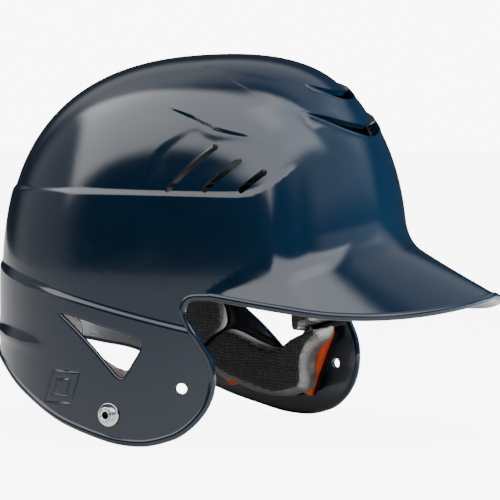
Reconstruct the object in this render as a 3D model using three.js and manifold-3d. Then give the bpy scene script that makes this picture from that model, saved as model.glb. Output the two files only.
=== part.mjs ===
// Batting helmet with two ear flaps: an injection-moulded shell with a bill, three-layer foam pads
// glued inside it, and a riveted chin-strap snap on each flap.
// Millimetres, +Z up, bill towards -Y, the wearer's left on +X.
// The origin is the middle of the head space, level with the shell's widest ring.
import * as THREE from "three";
import { mergeVertices } from "three/addons/utils/BufferGeometryUtils.js";
import Module from "manifold-3d";

const wasm = await Module();
wasm.setup();

// ---- driving dimensions ----
const HALF_WIDTH = 101.5;      // of the shell above its ledges
const HALF_LENGTH = 115.5;
const CROWN_HEIGHT = 129;
const CROWN_FORWARD = 17;     // the top of the crown lies this far in front of the origin
const CROWN_FULLNESS = 0.072; // how far the shoulders swell past an ellipse
const SQUARENESS = 2.1;       // exponent of the plan outline, 2 is an ellipse
const FRONT_TAPER = 0.053;    // the plan is narrower in front than behind
const WALL = 3.2;
const GAP = 0.3;              // between pieces that touch

const BILL_REACH = 58;        // from the wall to the middle of the bill's edge bead
const BILL_HALF_ANGLE = 67;   // degrees to each side of the front where the bill dies into the wall
const BILL_ROOT_HEIGHT = 27;
const BILL_TIP_HEIGHT = -2;
const BILL_EDGE_DROP = 9.5;   // how far the bill's sides hang below its tip
const BILL_FILLET = 7;

const FLAP_BOTTOM = -80.5;
const REAR_RIM = -34.5;
const BEAD_RADIUS = 2.1;
const EAR_BEAD_RADIUS = 1.6;

const LEDGE_STEP = 1.3;       // how far the wall stands out below each ledge
const SCALE_LIFT = 3;         // how far each front scale is pushed forward out of the crown
const SCALE_RISE = 0.6;
const VENT_HEIGHT = 2.6;      // of the air intakes under the scales, in degrees of the dome
const SLOT_WIDTH = 3.2;

const BASE_THICKNESS = 4;
const CUSHION_THICKNESS = 12;
const COVER_THICKNESS = 1.2;
const CUSHION_INSET = 1.2;    // each layer is cut a little smaller than the one behind it
const COVER_INSET = 4.5;
const SIDE_PAD_END = 72;       // how far behind the origin the side pads reach
const REAR_PAD_SPACING = 13.74; // from there to the rear pad, measured along the helmet

const SNAP_Y = 5;
const SNAP_Z = -66;
const POST_RADIUS = 2.5;
const POST_CLEARANCE = 0.3;
const STUD_FLANGE_RADIUS = 6.3;
const STUD_FLANGE_THICKNESS = 0.9;
const STUD_HEIGHT = 4.2;
const STUD_BEAD_RADIUS = 4.4;
const STUD_NECK_RADIUS = 3.7;
const STUD_ROOT_HEIGHT = 0.4;  // a cone under the bead, so the flange's flat ring lies in the open
const WASHER_RADIUS = 6;
const WASHER_THICKNESS = 1;
const POST_HEAD_THICKNESS = 0.8;
const GUARD_HOLE_Y = -35;
const GUARD_HOLE_Z = -51;
const GUARD_HOLE_RADIUS = 2.9;

const AROUND = 40;            // facets round the shell
const DOME_ROWS = 7;          // rows from the crown to the upper ledge
const SIDE_ROWS = 3;          // rows from the upper ledge to the lower ledge
const ROUND_SIDES = 20;       // facets of small round pieces and holes
const FLOOR = -100;           // below every edge, where the uncut wall solids end

// ---- materials ----
function material(color, roughness, metalness = 0) {
  return new THREE.MeshStandardMaterial({ color, roughness, metalness });
}
const navyPlastic = material(0x0b2138, 0.12);
const orangeFoam = material(0xf2551f, 0.75);
const greyFoam = material(0x6b6b6b, 0.95);
const meshCloth = material(0x343434, 0.9);
const chrome = material(0xd8d8da, 0.15, 1);

// ---- solids ----
function solid(geometry) {
  geometry.deleteAttribute("normal");
  geometry.deleteAttribute("uv");
  const merged = mergeVertices(geometry, 1e-4);
  const corners = merged.index.array;
  const triangles = [];
  for (let i = 0; i < corners.length; i += 3) {
    const [a, b, c] = [corners[i], corners[i + 1], corners[i + 2]];
    if (a !== b && b !== c && c !== a) triangles.push(a, b, c);
  }
  return new wasm.Manifold(new wasm.Mesh({
    numProp: 3,
    vertProperties: new Float32Array(merged.attributes.position.array),
    triVerts: new Uint32Array(triangles),
  }));
}

const helmet = new THREE.Group();

function addPiece(name, body, look, parent = helmet) {
  const result = body.getMesh();
  const geometry = new THREE.BufferGeometry();
  geometry.setAttribute("position", new THREE.Float32BufferAttribute(result.vertProperties, 3));
  geometry.setIndex(new THREE.Uint32BufferAttribute(result.triVerts, 1));
  geometry.computeVertexNormals();
  const piece = new THREE.Mesh(geometry, look);
  piece.name = name;
  parent.add(piece);
  return piece;
}

// ---- the shell's surface ----
// A place on it is an azimuth in degrees, 0 at the front and +90 on the wearer's left, and a station:
// 0 at the crown to 90 at the widest ring, and past 90 the millimetres below that ring.
const radians = THREE.MathUtils.degToRad;
const roundPower = (value) => Math.sign(value) * Math.abs(value) ** (2 / SQUARENESS);

function planPoint(azimuth, offset) {
  const t = radians(azimuth);
  return new THREE.Vector2(
    (HALF_WIDTH + offset) * roundPower(Math.sin(t)) * (1 - FRONT_TAPER * Math.cos(t)),
    -(HALF_LENGTH + offset) * roundPower(Math.cos(t)),
  );
}

function surfacePoint(azimuth, station, offset = 0) {
  const plan = planPoint(azimuth, offset);
  if (station > 90) return new THREE.Vector3(plan.x, plan.y, 90 - station);
  const p = radians(station);
  const swell = 1 + CROWN_FULLNESS * Math.sin(2 * p) ** 2;
  const r = Math.sin(p) * swell;
  return new THREE.Vector3(
    plan.x * r,
    -CROWN_FORWARD + (plan.y + CROWN_FORWARD) * r,
    (CROWN_HEIGHT + offset) * Math.cos(p) * swell,
  );
}

// The station where the surface meets the sloping plane z = height + slope * y.
function stationAt(azimuth, height, slope = 0) {
  let low = 0;
  let high = 90 - FLOOR;
  for (let i = 0; i < 40; i += 1) {
    const middle = (low + high) / 2;
    const p = surfacePoint(azimuth, middle);
    if (p.z > height + slope * p.y) low = middle;
    else high = middle;
  }
  return low;
}

const UPPER_LEDGE = { height: 52.5, slope: 0.02 };
const LOWER_LEDGE = { height: -11, slope: 0.23 };
const LEDGE_HALF_WIDTH = 1.2; // degrees of the dome over which a ledge rises
const ledgeStation = (azimuth, ledge) => stationAt(azimuth, ledge.height, ledge.slope);
const fade = (value, from, to) => THREE.MathUtils.smoothstep(value, from, to);

// The upper ledge dies out in front of the side vents; the lower one runs all round.
function ledgeLift(azimuth, row) {
  const away = Math.abs(THREE.MathUtils.euclideanModulo(azimuth + 180, 360) - 180);
  const upper = row > DOME_ROWS ? LEDGE_STEP * fade(away, 38, 60) : 0;
  const lower = row > DOME_ROWS + SIDE_ROWS ? LEDGE_STEP * fade(away, 55, 75) : 0;
  return upper + lower;
}

function rowStation(azimuth, row) {
  const upper = ledgeStation(azimuth, UPPER_LEDGE);
  const lower = ledgeStation(azimuth, LOWER_LEDGE);
  if (row <= DOME_ROWS) return (upper - LEDGE_HALF_WIDTH) * row / DOME_ROWS;
  const side = row - DOME_ROWS - 1;
  const top = upper + LEDGE_HALF_WIDTH;
  if (side < SIDE_ROWS) return top + (lower - LEDGE_HALF_WIDTH - top) * side / (SIDE_ROWS - 1);
  return side === SIDE_ROWS ? lower + LEDGE_HALF_WIDTH : 90 - FLOOR;
}

// Everything inside the surface moved out by offset, down to a flat floor.
function layer(offset, floor = FLOOR) {
  const lastRow = DOME_ROWS + SIDE_ROWS + 2;
  const profile = [new THREE.Vector2(0, -lastRow - 1)];
  for (let row = lastRow; row > 0; row -= 1) profile.push(new THREE.Vector2(1, -row));
  profile.push(new THREE.Vector2(0, 0));
  const geometry = new THREE.LatheGeometry(profile, AROUND);
  const place = geometry.attributes.position;
  for (let i = 0; i < place.count; i += 1) {
    const [x, y, z] = [place.getX(i), place.getY(i), place.getZ(i)];
    const row = Math.round(-y);
    if (row > lastRow) {
      place.setXYZ(i, 0, 0, floor);
      continue;
    }
    const azimuth = THREE.MathUtils.radToDeg(Math.atan2(x, z));
    const lift = ledgeLift(azimuth, row);
    const p = surfacePoint(azimuth, row === 0 ? 0 : rowStation(azimuth, row), offset + lift);
    place.setXYZ(i, p.x, p.y, row === lastRow ? floor : p.z);
  }
  return solid(geometry);
}

// ---- cutters ----
// A wedge with its point inside the head space, through an outline given on the surface.
function wedge(outline) {
  const flat = outline.map(([azimuth, station]) => {
    const r = station / 90;
    return new THREE.Vector2(r * Math.sin(radians(azimuth)), -r * Math.cos(radians(azimuth)));
  });
  const ccw = THREE.ShapeUtils.area(flat) > 0;
  const corners = ccw ? outline : [...outline].reverse();
  const faces = THREE.ShapeUtils.triangulateShape(ccw ? flat : flat.reverse(), []);
  const count = corners.length;
  const positions = [];
  for (const reach of [0.3, 4]) {
    for (const [azimuth, station] of corners) {
      const p = surfacePoint(azimuth, station);
      positions.push(p.x * reach, p.y * reach, p.z > 0 ? p.z * reach : p.z);
    }
  }
  const index = [];
  for (const [a, b, c] of faces) {
    index.push(a, c, b);
    index.push(a + count, b + count, c + count);
  }
  for (let i = 0; i < count; i += 1) {
    const j = (i + 1) % count;
    index.push(i, j, j + count);
    index.push(i, j + count, i + count);
  }
  const geometry = new THREE.BufferGeometry();
  geometry.setAttribute("position", new THREE.Float32BufferAttribute(positions, 3));
  geometry.setIndex(index);
  return solid(geometry);
}

// A side-view outline of [y, z] points, run across the helmet from x = from to x = to.
function sidePrism(points, from, to) {
  const shape = new THREE.Shape(points.map(([y, z]) => new THREE.Vector2(y, z)));
  const geometry = new THREE.ExtrudeGeometry(shape, { depth: to - from, bevelEnabled: false });
  const turn = new THREE.Matrix4().makeBasis(
    new THREE.Vector3(0, 1, 0), new THREE.Vector3(0, 0, 1), new THREE.Vector3(1, 0, 0));
  geometry.applyMatrix4(turn);
  geometry.translate(from, 0, 0);
  return solid(geometry);
}

function smoothOutline(points, steps) {
  const curve = new THREE.SplineCurve(points.map(([y, z]) => new THREE.Vector2(y, z)));
  return curve.getPoints(steps).map((p) => [p.x, p.y]);
}

// A polygon with each corner rounded, as evenly spaced [y, z] points.
function roundedOutline(corners, radius, count) {
  const shape = new THREE.Shape();
  corners.forEach(([y, z], i) => {
    const here = new THREE.Vector2(y, z);
    const before = new THREE.Vector2(...corners.at(i - 1)).sub(here).setLength(radius).add(here);
    const after = new THREE.Vector2(...corners[(i + 1) % corners.length]);
    after.sub(here).setLength(radius).add(here);
    if (i === 0) shape.moveTo(before.x, before.y);
    else shape.lineTo(before.x, before.y);
    shape.quadraticCurveTo(y, z, after.x, after.y);
  });
  shape.closePath();
  return shape.getSpacedPoints(count).slice(1).map((p) => [p.x, p.y]);
}

// Every edge of a closed [y, z] outline moved in by the same distance.
function insetOutline(points, distance) {
  const corners = points.map(([y, z]) => new THREE.Vector2(y, z));
  const inward = Math.sign(THREE.ShapeUtils.area(corners));
  const normals = corners.map((here, i) => {
    const along = corners[(i + 1) % corners.length].clone().sub(here).normalize();
    return new THREE.Vector2(-along.y, along.x).multiplyScalar(inward);
  });
  return corners.map((here, i) => {
    const before = normals.at(i - 1);
    const move = before.clone().add(normals[i]).multiplyScalar(distance / (1 + before.dot(normals[i])));
    return [here.x + move.x, here.y + move.y];
  });
}

// ---- places on the straight side wall ----
const SIDES = [["right", -1], ["left", 1]];

function wallAzimuth(y) {
  const share = THREE.MathUtils.clamp(-y / HALF_LENGTH, -1, 1);
  return THREE.MathUtils.radToDeg(Math.acos(Math.sign(share) * Math.abs(share) ** (SQUARENESS / 2)));
}

function wallPoint(y, z, side, offset) {
  const azimuth = wallAzimuth(y);
  const lower = ledgeStation(azimuth, LOWER_LEDGE);
  const row = 90 - z > lower ? DOME_ROWS + SIDE_ROWS + 1 : DOME_ROWS + 1;
  return surfacePoint(side * azimuth, 90 - z, offset + ledgeLift(azimuth, row));
}

// The wall's flat facet that holds a place, as the point on it and its outward direction.
function wallFacet(y, z, side) {
  const step = 360 / AROUND;
  const first = Math.floor(wallAzimuth(y) / step) * step;
  const lift = ledgeLift(first, DOME_ROWS + SIDE_ROWS + 1);
  const nextLift = ledgeLift(first + step, DOME_ROWS + SIDE_ROWS + 1);
  const a = planPoint(side * first, lift);
  const b = planPoint(side * (first + step), nextLift);
  const x = a.x + (b.x - a.x) * (y - a.y) / (b.y - a.y);
  const out = new THREE.Vector3(b.y - a.y, a.x - b.x, 0).multiplyScalar(side).normalize();
  return { point: new THREE.Vector3(x, y, z), out };
}

function drill(y, z, side, radius) {
  const { point, out } = wallFacet(y, z, side);
  const geometry = new THREE.CylinderGeometry(radius, radius, 60, ROUND_SIDES);
  geometry.applyQuaternion(new THREE.Quaternion().setFromUnitVectors(new THREE.Vector3(0, 1, 0), out));
  geometry.translate(point.x, point.y, point.z);
  return solid(geometry);
}

// ---- the rim, seen from the side: brow end, notch, flap, then up to the nape ----
const FLAP_RIM = [
  [-38.5, -3.2], [-35.3, -9], [-36.8, -15.5], [-43.5, -26.5], [-49.3, -38], [-50, -50],
  [-46.5, -61], [-39, -70.5], [-29, FLAP_BOTTOM + 3.6], [-13, FLAP_BOTTOM],
  [8, FLAP_BOTTOM + 2.2], [37, -69.5], [65.5, -55.5],
  [HALF_LENGTH - 27, REAR_RIM - 8], [HALF_LENGTH - 12, REAR_RIM - 2.4], [HALF_LENGTH, REAR_RIM],
];

function foldHeight(azimuth) {
  return BILL_ROOT_HEIGHT * Math.cos(radians(90) * Math.min(1, Math.abs(azimuth) / BILL_HALF_ANGLE));
}

function browLine(steps) {
  const points = [];
  for (let i = 0; i < steps; i += 1) {
    const azimuth = BILL_HALF_ANGLE * i / steps;
    const height = foldHeight(azimuth) - WALL;
    points.push([surfacePoint(azimuth, stationAt(azimuth, height)).y, height]);
  }
  return points;
}

function faceCutter() {
  const brow = browLine(10);
  const flap = smoothOutline([[planPoint(BILL_HALF_ANGLE - 4, 0).y, -2.4], ...FLAP_RIM], 44);
  const [nape] = flap.slice(-1);
  const outline = [
    [brow[0][0] - 60, brow[0][1]], ...brow, ...flap,
    [nape[0] + 60, nape[1]], [nape[0] + 60, FLOOR - 40], [brow[0][0] - 60, FLOOR - 40],
  ];
  return sidePrism(outline, -2 * HALF_WIDTH, 2 * HALF_WIDTH);
}

// ---- the bill ----
function billReach(azimuth) {
  const share = Math.min(1, Math.abs(azimuth) / BILL_HALF_ANGLE);
  const blunt = 0.12; // rounds the tip, where a straight taper would come to a point
  const along = Math.sqrt(share ** 2 * (1 - blunt ** 2) + blunt ** 2);
  return BILL_REACH * ((1 - along) / (1 - blunt)) ** 1.15;
}

function billEdgeHeight(azimuth) {
  const share = Math.min(1, Math.abs(azimuth) / BILL_HALF_ANGLE);
  return BILL_TIP_HEIGHT - BILL_EDGE_DROP * Math.sin(Math.PI * share ** 0.9) ** 1.2;
}

function billPoint(azimuth, outward) {
  const root = surfacePoint(azimuth, stationAt(azimuth, foldHeight(azimuth)), -WALL / 2);
  const edge = surfacePoint(azimuth, 90);
  edge.multiplyScalar(1 + billReach(azimuth) / edge.length());
  edge.z = billEdgeHeight(azimuth);
  const point = root.lerp(edge, outward);
  point.z += BILL_FILLET * Math.exp(-outward * 11) * Math.min(1, billReach(azimuth) / BILL_FILLET);
  return point;
}

function bill() {
  const across = 22;
  const outwards = [0, 0.1, 0.25, 0.6, 1];
  const rows = outwards.length;
  const geometry = new THREE.BoxGeometry(2, 1, 1, across, rows - 1, 1);
  const place = geometry.attributes.position;
  for (let i = 0; i < place.count; i += 1) {
    const azimuth = place.getX(i) * BILL_HALF_ANGLE;
    const row = Math.round((0.5 - place.getY(i)) * (rows - 1));
    const p = billPoint(azimuth, outwards[row]);
    place.setXYZ(i, p.x, p.y, p.z + (place.getZ(i) > 0 ? 0 : -WALL));
  }
  return solid(geometry);
}

// ---- beads: a round cord of plastic along an edge ----
function bead(points, radius, sides, steps) {
  const path = new THREE.CatmullRomCurve3(points, true, "centripetal");
  const section = new THREE.Shape();
  section.absarc(0, 0, radius, 0, 2 * Math.PI);
  const settings = { steps, curveSegments: sides / 2, extrudePath: path, bevelEnabled: false };
  return solid(new THREE.ExtrudeGeometry(section, settings));
}

function rimBead() {
  const half = [];
  for (let azimuth = 0; azimuth < BILL_HALF_ANGLE - 2; azimuth += 6) {
    const p = billPoint(azimuth, 1);
    half.push(p.setZ(p.z - WALL / 2));
  }
  for (const [y, z] of smoothOutline(FLAP_RIM, 40)) half.push(wallPoint(y, z, 1, BEAD_RADIUS - WALL));
  const other = half.slice(1, -1).reverse().map((p) => new THREE.Vector3(-p.x, p.y, p.z));
  return bead([...half, ...other], BEAD_RADIUS, 6, 84);
}

// ---- openings in the shell ----
const EAR_CORNERS = [[43, -10.5], [13, -17], [-17.5, -26.5], [-2.5, -50.5]];
const EAR_ROUNDING = 6;
const SIDE_VENTS = [
  [[78.7, 66.6], [64.6, 55.3]],
  [[68.4, 66.6], [57.2, 58.8]],
  [[58.1, 66.7], [49.6, 61.6]],
];

function slotCutter(from, to, side) {
  const a = surfacePoint(side * from[0], from[1]);
  const b = surfacePoint(side * to[0], to[1]);
  const along = b.clone().sub(a);
  const out = a.clone().add(b).normalize();
  const across = out.clone().cross(along).normalize();
  out.copy(along).cross(across).normalize();
  const geometry = new THREE.BoxGeometry(along.length(), SLOT_WIDTH, 40);
  geometry.applyMatrix4(new THREE.Matrix4().makeBasis(along.normalize(), across, out));
  const middle = a.add(b).multiplyScalar(0.5);
  geometry.translate(middle.x, middle.y, middle.z);
  return solid(geometry);
}

// The two overlapping scales in front of the crown, the lower one first. Each is a tongue of the dome
// pushed forward, whose edge runs back on both sides: azimuth and station of the edge from the middle
// of the front to its tail.
const SCALES = [
  { edge: [[0, 50], [14, 48.6], [24, 47], [34, 45.5], [45.5, 41.5], [57, 36.5], [90, 20]], vent: 30 },
  { edge: [[0, 38.5], [10, 38], [27, 35.5], [42, 33.5], [57, 30.5], [77, 26.5], [120, 12]], vent: 20 },
];
const SCALE_OVERHANG = 1.5;   // the inside steps this many degrees above the outside's edge

function mirrored(edge) {
  const other = edge.slice(1).reverse().map(([azimuth, station]) => [-azimuth, station]);
  return [...other, ...edge];
}

function ventOutline(edge, halfAngle) {
  const line = new THREE.SplineCurve(edge.map(([t, s]) => new THREE.Vector2(t, s)));
  const upper = line.getPoints(40).filter((p) => p.x < halfAngle);
  const lower = upper.map((p) => [p.x, p.y + VENT_HEIGHT * Math.cos(radians(90) * p.x / halfAngle)]);
  const half = upper.filter((p, i) => i % 3 === 0).map((p) => [p.x, p.y - 0.2]);
  const under = lower.filter((p, i) => i % 3 === 0);
  return [...mirrored(half), ...mirrored(under).reverse()];
}

function shell() {
  let outside = layer(0);
  let inside = layer(-WALL, FLOOR - 10);
  SCALES.forEach(({ edge }, i) => {
    const push = [0, -SCALE_LIFT * (i + 1), SCALE_RISE * (i + 1)];
    const innerEdge = edge.map(([azimuth, station]) => [azimuth, station - SCALE_OVERHANG]);
    outside = outside.add(layer(0).translate(push).intersect(wedge(mirrored(edge))));
    inside = inside.add(layer(-WALL, FLOOR - 10).translate(push).intersect(wedge(mirrored(innerEdge))));
  });
  let body = outside.subtract(inside).subtract(faceCutter());
  body = body.add(bill()).add(rimBead());
  for (const { edge, vent } of SCALES) body = body.subtract(wedge(ventOutline(edge, vent)));
  const ear = roundedOutline(EAR_CORNERS, EAR_ROUNDING, 32);
  for (const [, side] of SIDES) {
    const edge = ear.map(([y, z]) => wallPoint(y, z, side, EAR_BEAD_RADIUS - WALL));
    body = body.subtract(sidePrism(ear, Math.min(side * 60, side * 150), Math.max(side * 60, side * 150)));
    body = body.add(bead(edge, EAR_BEAD_RADIUS, 6, 30));
    for (const [from, to] of SIDE_VENTS) body = body.subtract(slotCutter(from, to, side));
    body = body.subtract(drill(GUARD_HOLE_Y, GUARD_HOLE_Z, side, GUARD_HOLE_RADIUS));
    body = body.subtract(drill(SNAP_Y, SNAP_Z, side, POST_RADIUS + POST_CLEARANCE));
  }
  return body;
}

addPiece("shell", shell(), navyPlastic);

// ---- pads: a firm base against the shell, a soft cushion and a cloth face ----
const PAD_LAYERS = [
  { suffix: "base", thickness: BASE_THICKNESS, inset: 0, look: orangeFoam },
  { suffix: "cushion", thickness: CUSHION_THICKNESS, inset: CUSHION_INSET, look: greyFoam },
  { suffix: "cover", thickness: COVER_THICKNESS, inset: COVER_INSET, look: meshCloth },
];

const layerBands = [];
let depth = WALL;
for (const { thickness } of PAD_LAYERS) {
  depth += GAP;
  layerBands.push(layer(-depth).subtract(layer(-depth - thickness, FLOOR - 10)));
  depth += thickness;
}

function addPad(name, cutter, pockets = []) {
  PAD_LAYERS.forEach(({ suffix, inset, look }, i) => {
    let body = layerBands[i].intersect(cutter(inset));
    if (i === 0) for (const pocket of pockets) body = body.subtract(pocket);
    addPiece(`${name}_${suffix}`, body, look);
  });
}

// An outline on the dome between two azimuths and two stations.
function domePatch(halfAngle, top, bottom, middle = 0) {
  return (inset) => {
    const angle = halfAngle - inset / 1.8; // about 1.8 mm of the dome to a degree
    const [high, low] = [top + inset / 2, bottom - inset / 2];
    const points = [];
    const steps = 8;
    for (let i = 0; i <= steps; i += 1) points.push([middle - angle + 2 * angle * i / steps, low]);
    for (let i = steps; i >= 0; i -= 1) points.push([middle - angle + 2 * angle * i / steps, high]);
    return wedge(points);
  };
}

function crownPatch(station) {
  return (inset) => {
    const points = [];
    for (let azimuth = 0; azimuth < 360; azimuth += 15) points.push([azimuth, station - inset / 2]);
    return wedge(points);
  };
}

addPad("crown_pad", crownPatch(30));
addPad("forehead_pad", domePatch(46, 57, 76));

// The side pad runs over the ear opening and down behind it, and meets the ear pad on both sides.
const SIDE_PAD = [
  [-38.5, -26], [-30, -10], [-35, 3], [-49, 11], [-55, 24], [-50, 40], [-25, 50], [20, 50], [48, 40],
  [62, 20], [70, 0], [SIDE_PAD_END, -22], [70, -37], [57, -49.5], [36.5, -30.5], [38, -20], [45, -8], [12, -11],
  [-12, -19], [-14, -34],
];
const EAR_PAD = [
  [-40.5, -27.3], [-37.5, -37.5], [-29, -42], [-25, -49.5], [-26, -58.5], [-25, -65], [-19, -71], [-8, -75],
  [6, -75.5], [20, -72.8], [36, -66.5], [57.9, -52], [35.6, -31.8], [26.5, -34.5], [19.3, -38],
  [12, -41], [4, -43.5], [-4.6, -41.8], [-9, -38.5], [-14, -35.6],
];

addPad("rear_pad", domePatch(180 - wallAzimuth(SIDE_PAD_END + REAR_PAD_SPACING), 64, 105, 180));

for (const [word, side] of SIDES) {
  const across = (outline) => (inset) => {
    const points = insetOutline(outline, inset);
    return sidePrism(points, Math.min(side * 40, side * 150), Math.max(side * 40, side * 150));
  };
  addPad(`${word}_side_pad`, across(SIDE_PAD));
  addPad(`${word}_ear_pad`, across(EAR_PAD), [drill(SNAP_Y, SNAP_Z, side, WASHER_RADIUS + 1)]);
}

// ---- chin-strap snaps, drawn standing on the shell's outside along +Y ----
function turned(profile) {
  return solid(new THREE.LatheGeometry(profile.map(([r, y]) => new THREE.Vector2(r, y)), ROUND_SIDES));
}

function stud() {
  const bore = POST_RADIUS + POST_CLEARANCE;
  const flange = GAP + STUD_FLANGE_THICKNESS;
  return turned([
    [bore, GAP], [STUD_FLANGE_RADIUS, GAP], [STUD_FLANGE_RADIUS, flange],
    [STUD_BEAD_RADIUS + GAP, flange], [STUD_NECK_RADIUS, flange + STUD_ROOT_HEIGHT],
    [STUD_NECK_RADIUS, STUD_HEIGHT * 0.5], [STUD_BEAD_RADIUS, STUD_HEIGHT * 0.7],
    [STUD_BEAD_RADIUS, STUD_HEIGHT - 0.6], [STUD_BEAD_RADIUS - 0.6, STUD_HEIGHT],
    [bore, STUD_HEIGHT], [bore, GAP],
  ]);
}

// A tube rolled over at the outer end, with a flat head inside the shell.
function post() {
  const bore = POST_RADIUS - 0.7;
  const inner = -WALL - GAP - WASHER_THICKNESS - GAP;
  const rolled = STUD_HEIGHT + GAP;
  return turned([
    [bore, inner - POST_HEAD_THICKNESS], [WASHER_RADIUS - 1, inner - POST_HEAD_THICKNESS],
    [WASHER_RADIUS - 1, inner], [POST_RADIUS, inner], [POST_RADIUS, rolled],
    [POST_RADIUS + 1, rolled], [POST_RADIUS + 0.8, rolled + 0.6], [bore + 0.4, rolled + 0.6],
    [bore, rolled], [bore, inner - POST_HEAD_THICKNESS],
  ]);
}

function washer() {
  const bore = POST_RADIUS + POST_CLEARANCE;
  const top = -WALL - GAP;
  return turned([
    [bore, top - WASHER_THICKNESS], [WASHER_RADIUS, top - WASHER_THICKNESS],
    [WASHER_RADIUS, top], [bore, top], [bore, top - WASHER_THICKNESS],
  ]);
}

for (const [word, side] of SIDES) {
  const { point, out } = wallFacet(SNAP_Y, SNAP_Z, side);
  const seat = new THREE.Group();
  seat.position.copy(point);
  seat.quaternion.setFromUnitVectors(new THREE.Vector3(0, 1, 0), out);
  helmet.add(seat);
  addPiece(`${word}_snap_stud`, stud(), chrome, seat);
  addPiece(`${word}_snap_post`, post(), chrome, seat);
  addPiece(`${word}_snap_washer`, washer(), chrome, seat);
}

export default helmet;
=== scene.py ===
# %% [markdown]
# A batting helmet with two ear flaps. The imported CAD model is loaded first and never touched: its
# shell, pads and snaps say where everything is, and finer pieces are then made to stand for them.
# All the formulas below work in millimetres and are turned into metres when a mesh is made.

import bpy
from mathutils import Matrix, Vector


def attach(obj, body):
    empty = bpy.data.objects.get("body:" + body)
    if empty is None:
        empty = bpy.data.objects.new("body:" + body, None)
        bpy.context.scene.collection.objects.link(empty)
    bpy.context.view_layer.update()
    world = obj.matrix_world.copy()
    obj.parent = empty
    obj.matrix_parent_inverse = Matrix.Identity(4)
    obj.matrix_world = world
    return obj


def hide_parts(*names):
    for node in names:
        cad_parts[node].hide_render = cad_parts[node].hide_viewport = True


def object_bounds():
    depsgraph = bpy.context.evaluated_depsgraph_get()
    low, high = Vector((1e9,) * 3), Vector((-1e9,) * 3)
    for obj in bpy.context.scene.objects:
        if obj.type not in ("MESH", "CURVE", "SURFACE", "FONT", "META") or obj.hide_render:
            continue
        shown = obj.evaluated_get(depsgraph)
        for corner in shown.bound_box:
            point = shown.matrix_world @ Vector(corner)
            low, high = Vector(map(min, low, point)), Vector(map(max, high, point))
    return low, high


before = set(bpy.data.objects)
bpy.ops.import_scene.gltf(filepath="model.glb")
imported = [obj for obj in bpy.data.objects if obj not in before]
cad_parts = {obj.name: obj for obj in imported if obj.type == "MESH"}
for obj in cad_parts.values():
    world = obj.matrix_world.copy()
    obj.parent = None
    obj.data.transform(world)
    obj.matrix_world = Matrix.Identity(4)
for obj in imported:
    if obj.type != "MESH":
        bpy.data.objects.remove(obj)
cad_box = [list(corner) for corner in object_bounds()]

import math

import bpy
import numpy as np
from mathutils import Vector
from mathutils.geometry import delaunay_2d_cdt

MM = 0.001
print("CAD box in mm:", [[round(v / MM, 1) for v in corner] for corner in cad_box])

# %% [markdown]
# The camera stands at the wearer's right and a little to the front, far away behind a long lens, as
# for a catalogue picture, so the helmet hardly gets smaller towards its far side. It is made first,
# because everything after it is judged through it.

# %% Camera
CAMERA_AZIMUTH = math.radians(-63.1)
CAMERA_ELEVATION = math.radians(2.24)
CAMERA_DISTANCE = 1600 * MM
CAMERA_LENS = 205.4
LOOK_AT = Vector((0.5, -26.4, 19.0)) * MM


def direction(azimuth, elevation):
    """Unit vector from the helmet to a place at an azimuth (0 is in front) and an elevation."""
    flat = math.cos(elevation)
    return Vector((math.sin(azimuth) * flat, -math.cos(azimuth) * flat, math.sin(elevation)))


def aim(thing, place, target):
    thing.location = place
    thing.rotation_euler = (target - place).to_track_quat("-Z", "Y").to_euler()
    bpy.context.scene.collection.objects.link(thing)


camera = bpy.data.objects.new("camera", bpy.data.cameras.new("camera"))
camera.data.lens = CAMERA_LENS
camera.data.sensor_width = 36
aim(camera, LOOK_AT + direction(CAMERA_AZIMUTH, CAMERA_ELEVATION) * CAMERA_DISTANCE, LOOK_AT)
bpy.context.scene.camera = camera

# %% [markdown]
# Glossy plastic shows the room more than it shows itself. So the room, as reflections see it, is dark
# with a few large softboxes painted on it, each a direction, two half widths, a soft edge and a
# strength. What the camera sees behind the helmet is plain and pale; the Light Path node tells the two
# apart. Two panels that reflections don't see give the foam and the floor their plain soft light.

# %% Studio: a painted room and two panels
SOFTBOXES = {  # azimuth, elevation, half width, half height and soft edge in degrees, strength
    "top": (-92, 67, 52, 24, 9, 3.6),
    "front_strip": (-22, 63, 5, 9, 6, 1.2),
    "rear_wall": (-168, 4, 26, 60, 26, 0.42),
    "bill_side": (18, 30, 30, 16, 16, 0.55),
    "low_front": (-62, -26, 46, 12, 18, 0.12),
    "far_top": (100, 58, 45, 22, 18, 0.6),
}
ROOM_SEEN = 9.0
ROOM_REFLECTED = 0.035
PANELS = {  # azimuth, elevation, distance, width, height, power
    "key": (-70, 55, 1.2, 0.9, 0.7, 8),
    "fill_through_the_face": (20, 4, 1.0, 0.5, 0.4, 55),
}


def put(tree, kind, settings=None, **inputs):
    """A node with its inputs set or linked; underscores in input names stand for spaces."""
    node = tree.nodes.new(kind)
    for key, value in (settings or {}).items():
        setattr(node, key, value)
    for key, value in inputs.items():
        socket = node.inputs[int(key[1:]) if key[1:].isdigit() else key.replace("_", " ")]
        if isinstance(value, bpy.types.NodeSocket):
            tree.links.new(value, socket)
        else:
            socket.default_value = value
    return node


def calculate(tree, operation, a, b=0.0):
    return put(tree, "ShaderNodeMath", {"operation": operation}, i0=a, i1=b).outputs[0]


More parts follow.
